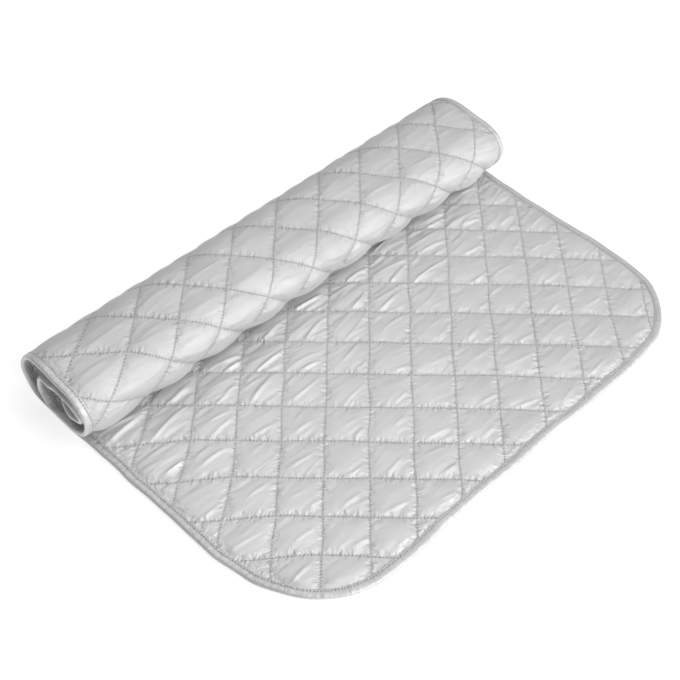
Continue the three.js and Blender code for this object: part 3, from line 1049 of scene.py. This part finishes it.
def loop_faces(rows, columns, closed):
    """Quads of a grid whose columns close on themselves, and whose rows do too where closed is true."""
    r = np.arange(rows if closed else rows - 1)
    c = np.arange(columns)
    low, high = r[:, None] * columns, ((r + 1) % rows)[:, None] * columns
    after = (c + 1) % columns
    return np.stack([low + c, low + after, high + after, high + c], -1).reshape(-1, 4)


def solid_faces(rows, columns):
    """A grid tube with its two end faces."""
    ends = [list(range(columns))[::-1], [(rows - 1) * columns + c for c in range(columns)]]
    return loop_faces(rows, columns, False).tolist() + ends


RIM = rim()
RIM_GAPS = np.linalg.norm(np.diff(RIM[:, :2], axis=0, append=RIM[:1, :2]), axis=1)
RIM_ALONG = np.concatenate([[0.0], np.cumsum(RIM_GAPS)])


def rim_cuts():
    """The stations at the cuts: right side from the first cut on, then left side in the same order."""
    right, left = ([int(np.argmin(np.hypot(RIM[:, 0] - cut, RIM[:, 1] - side))) for cut in CUTS]
                   for side in (HALF_PAD, -HALF_PAD))
    left[0] = len(RIM)
    return right, left


def tape():
    """The tape's pieces by name, each with its length in millimetres."""
    columns = len(SECTION)
    random = np.random.default_rng(SWELL_SEED)
    swell = np.zeros(len(RIM))
    counts = random.integers(*SWELL_COUNTS, SWELL_WAVES)
    for count, phase in zip(counts, random.uniform(*ANY_TURN, SWELL_WAVES)):
        swell += np.sin(RIM_ALONG[:-1] / RIM_ALONG[-1] * 2 * np.pi * count + phase) / SWELL_WAVES
    inward, height = SECTION[:, 0], SECTION[:, 1] - MIDDLE
    outside = np.abs(height) > TOP_SEAM - MIDDLE + SWELL_FROM
    lift = height * (1 + SWELL * outside * swell[:, None]) + MIDDLE
    u = RIM[:, :1] + inward * RIM[:, 2:3]
    v = RIM[:, 1:2] + inward * RIM[:, 3:4]
    points = place(u, v, lift).reshape(-1, 3)
    along = np.broadcast_to(RIM_ALONG[:-1, None], u.shape)
    pattern = np.stack([along, np.broadcast_to(inward, u.shape), lift], -1).reshape(-1, 3)
    whole = loop_faces(len(RIM), columns, True)
    normals = point_normals(points, whole)
    right, left = rim_cuts()
    spans = [("tape_flat", 0, right[0]), ("tape_roll", right[-1], left[-1])]
    for k in range(1, HINGES + 1):
        spans.append((f"tape_right_{k}", right[k - 1], right[k]))
        spans.append((f"tape_left_{k}", left[k], left[k - 1]))
    made = {}
    for name, low, high in spans:
        rows = np.arange(low, high + 1) % len(RIM)
        index = (rows[:, None] * columns + np.arange(columns)).ravel()
        faces = solid_faces(len(rows), columns)
        obj = new_piece(name, points[index], faces, pattern[index], normals[index], TAPE)
        made[name] = obj, RIM_GAPS[rows[:-1]].sum()
    return made


BINDING_STITCHES = round(RIM_ALONG[-1] / STITCH_PITCH)
TAPE = binding_tape(RIM_ALONG[-1] / BINDING_STITCHES)
SECTION = fold_profile()
tapes = tape()
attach(tapes["tape_flat"][0], "flat_panel")
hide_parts("edge_binding_flat")
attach(tapes["tape_roll"][0], "roll")
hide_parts("edge_binding_roll")
for k in range(1, HINGES + 1):
    for side in ("left", "right"):
        bend_piece(tapes[f"tape_{side}_{k}"][0], k)
        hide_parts(f"binding_{side}_bend_{min(k, HINGES - 1)}")


# Stitches: short lengths of thread that dip into the cloth at both ends

STITCH_SHARE = 0.74
STITCH_LIFT = (-0.2, 0.22, 0.32, 0.22, -0.2)
STITCH_RADIUS = (0.2, 0.31, 0.34, 0.31, 0.2)
STITCH_SIDES = 4
TAPE_CLEARANCE = 0.8


def seam_stitches():
    """Middle and direction of every quilting stitch on the pad, as rows of u and v."""
    reach = int((PAD_LENGTH + 2 * HALF_PAD) / DIAMOND) + 1
    line = np.arange(-reach, reach + 1) * DIAMOND
    stitches = reach * STITCHES_PER_SIDE
    run = (np.arange(-stitches, stitches) + 0.5) * DIAMOND / STITCHES_PER_SIDE
    fixed, moving = (grid.ravel() for grid in np.meshgrid(line, run, indexing="ij"))
    found = []
    for first, second, turn in ((fixed, moving, (1, -1)), (moving, fixed, (1, 1))):
        u = FIRST_ROW + (first + second) / 2
        v = FIRST_COLUMN + (first - second) / 2
        inside = (u > 0) & (u < PAD_LENGTH) & (np.abs(v) < HALF_PAD)
        inside[inside] = inset_at(u[inside], v[inside]) > BINDING_WIDTH + TAPE_CLEARANCE
        way = np.broadcast_to(np.array(turn) / math.sqrt(2), (inside.sum(), 2))
        found.append((np.stack([u, v], -1)[inside], way))
    return [np.concatenate(parts) for parts in zip(*found)]


def binding_stitches():
    """Middle and direction of every stitch in the binding's row, as rows of u and v."""
    at = (np.arange(BINDING_STITCHES) + 0.5) / BINDING_STITCHES * RIM_ALONG[-1]
    loop = np.concatenate([RIM, RIM[:1]])
    u, v, inward_u, inward_v = (np.interp(at, RIM_ALONG, loop[:, k]) for k in range(4))
    scale = np.hypot(inward_u, inward_v)
    inward = np.stack([inward_u, inward_v], -1) / scale[:, None]
    middle = np.stack([u, v], -1) + STITCH_ROW * inward
    return middle, np.stack([-inward[:, 1], inward[:, 0]], -1)


def stitch_tubes(middle, way, level, out):
    """Points and pattern of one small tube per stitch. level is the cloth's height, out its way up."""
    along = np.linspace(-0.5, 0.5, len(STITCH_LIFT)) * STITCH_PITCH * STITCH_SHARE
    turn = np.arange(STITCH_SIDES) / STITCH_SIDES * 2 * np.pi
    radius = np.array(STITCH_RADIUS)[:, None]
    aside = np.stack([-way[:, 1], way[:, 0]], -1)
    flat = middle[:, None, None] + along[None, :, None, None] * way[:, None, None]
    flat = flat + (radius * np.cos(turn))[None, ..., None] * aside[:, None, None]
    lift = np.array(STITCH_LIFT)[:, None] + radius * np.sin(turn)
    height = np.broadcast_to(level + out * lift, flat.shape[:-1])
    points = place(flat[..., 0], flat[..., 1], height)
    run = np.broadcast_to(along[None, :, None] + middle[:, :1, None], height.shape)
    spin = np.broadcast_to(turn / MM, height.shape)
    return points.reshape(-1, 3), np.stack([run, spin, height], -1).reshape(-1, 3)


def thread_piece(name, runs):
    """One piece of thread from several runs of stitches: middle, way, level and out for each."""
    rings = len(STITCH_LIFT)
    one = solid_faces(rings, STITCH_SIDES)
    points, pattern, faces, done = [], [], [], 0
    for middle, way, level, out in runs:
        p, q = stitch_tubes(middle, way, level, out)
        order = [f[::-1] for f in one] if out > 0 else one
        points.append(p)
        pattern.append(q)
        for _ in middle:
            faces += [[done + c for c in f] for f in order]
            done += rings * STITCH_SIDES
    return new_piece(name, np.concatenate(points), faces, np.concatenate(pattern), None, THREAD)


seam_middle, seam_way = seam_stitches()
bind_middle, bind_way = binding_stitches()

# Each face's level at the quilting and at the tape, and which way it faces
FACES = {"top": (TOP_SEAM, STITCH_ROW_TOP, 1), "back": (BACK_SEAM, THICKNESS - STITCH_ROW_TOP, -1)}
ENDS = {"flat": ("flat_panel", -math.inf, FIRST_CUT), "roll": ("roll", CUTS[-1], math.inf)}


def between(middle, way, low, high):
    """The stitches whose middles lie between two u."""
    here = (middle[:, 0] >= low) & (middle[:, 0] < high)
    return middle[here], way[here]


for end, (body, low, high) in ENDS.items():
    seams = between(seam_middle, seam_way, low, high)
    binds = between(bind_middle, bind_way, low, high)
    for face, (level, _, out) in FACES.items():
        obj = thread_piece(f"quilting_thread_{face}_{end}", [(*seams, level, out)])
        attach(obj, body)
    runs = [(*binds, tape_level, out) for _, tape_level, out in FACES.values()]
    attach(thread_piece(f"binding_thread_{end}", runs), body)
for k in range(1, HINGES + 1):
    seams = between(seam_middle, seam_way, CUTS[k - 1], CUTS[k])
    binds = between(bind_middle, bind_way, CUTS[k - 1], CUTS[k])
    runs = []
    for level, tape_level, out in FACES.values():
        runs.append((*seams, level, out))
        runs.append((*binds, tape_level, out))
    bend_piece(thread_piece(f"thread_bend_{k}", runs), k)


# Camera, floor and light

CAMERA_PLACE = (0.4935, -0.5379, 0.8150)
CAMERA_TARGET = (-0.0258, -0.0239, 0.0)
CAMERA_LENS = 65.67
SENSOR_WIDTH = 36.0
CAMERA_ROLL = math.radians(0.64)
FLOOR_HALF = 40.0
FLOOR_LEVEL = -0.0002
FLOOR_COLOUR = (0.5, 0.5, 0.5, 1)
FLOOR_ROUGHNESS = 0.9
FLOOR_GLOW = 0.68
WHITE = (1, 1, 1, 1)

# The sky is brightest this way
SKY_WAY = (-0.25, 0.5, 0.8)
SKY_DIM = 0.0
SKY_BRIGHT = 0.38

# Lights: place, width and height in metres, and power in watts
LIT_POINT = (0.0, 0.0, 0.03)
KEY_RIGHT = {"place_at": (1.75, 0.30, 1.0), "size": (2.5, 1.9), "power": 42}
BACK_LEFT = {"place_at": (-1.0, 0.35, 1.4), "size": (1.4, 1.4), "power": 4}
TOP_LIGHT = {"place_at": (0.35, 0.35, 1.7), "size": (0.9, 0.9), "power": 6.5}


def aim(obj, place_at, target, roll=0.0):
    """Puts a camera or light at one place and makes it look at another."""
    way = (Vector(target) - Vector(place_at)).to_track_quat("-Z", "Y")
    obj.rotation_mode = "QUATERNION"
    obj.location = place_at
    obj.rotation_quaternion = way @ Quaternion((0, 0, 1), roll)


def camera():
    data = bpy.data.cameras.new("camera")
    data.lens = CAMERA_LENS
    data.sensor_width = SENSOR_WIDTH
    bpy.context.scene.camera = linked("camera", data)
    aim(bpy.context.scene.camera, CAMERA_PLACE, CAMERA_TARGET, CAMERA_ROLL)


def floor():
    """A pale floor that glows a little, as a light table does, so that it stays white in the shadows."""
    mesh = bpy.data.meshes.new("floor")
    corners = [(-1, -1), (1, -1), (1, 1), (-1, 1)]
    points = [(x * FLOOR_HALF, y * FLOOR_HALF, FLOOR_LEVEL) for x, y in corners]
    mesh.from_pydata(points, [], [[0, 1, 2, 3]])
    material = bpy.data.materials.new("floor")
    material.use_nodes = True
    shader = material.node_tree.nodes["Principled BSDF"]
    shader.inputs["Base Color"].default_value = FLOOR_COLOUR
    shader.inputs["Roughness"].default_value = FLOOR_ROUGHNESS
    shader.inputs["Emission Color"].default_value = WHITE
    shader.inputs["Emission Strength"].default_value = FLOOR_GLOW
    mesh.materials.append(material)
    linked("floor", mesh)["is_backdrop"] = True


def area_light(name, place_at, size, power):
    data = bpy.data.lights.new(name, "AREA")
    data.shape = "RECTANGLE"
    data.size, data.size_y = size
    data.energy = power
    aim(linked(name, data), place_at, LIT_POINT)


def lights():
    """Soft light from the right, and a sky that is bright above and behind, so the roll's near end is dim."""
    world = bpy.data.worlds.new("studio")
    world.use_nodes = True
    nodes, links = world.node_tree.nodes, world.node_tree.links
    way = nodes.new("ShaderNodeTexCoord").outputs["Generated"]
    along = nodes.new("ShaderNodeVectorMath")
    along.operation = "DOT_PRODUCT"
    along.inputs[1].default_value = Vector(SKY_WAY).normalized()
    links.new(way, along.inputs[0])
    strength = nodes.new("ShaderNodeMapRange")
    spans = {"From Min": -1.0, "From Max": 1.0, "To Min": SKY_DIM, "To Max": SKY_BRIGHT}
    for key, value in spans.items():
        strength.inputs[key].default_value = value
    links.new(along.outputs["Value"], strength.inputs["Value"])
    links.new(strength.outputs["Result"], nodes["Background"].inputs["Strength"])
    nodes["Background"].inputs["Color"].default_value = WHITE
    bpy.context.scene.world = world
    area_light("key_right", **KEY_RIGHT)
    area_light("back_left", **BACK_LEFT)
    area_light("top", **TOP_LIGHT)


camera()
floor()
lights()
view = bpy.context.scene.view_settings
view.view_transform = "Standard"
view.look = "None"

low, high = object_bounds()
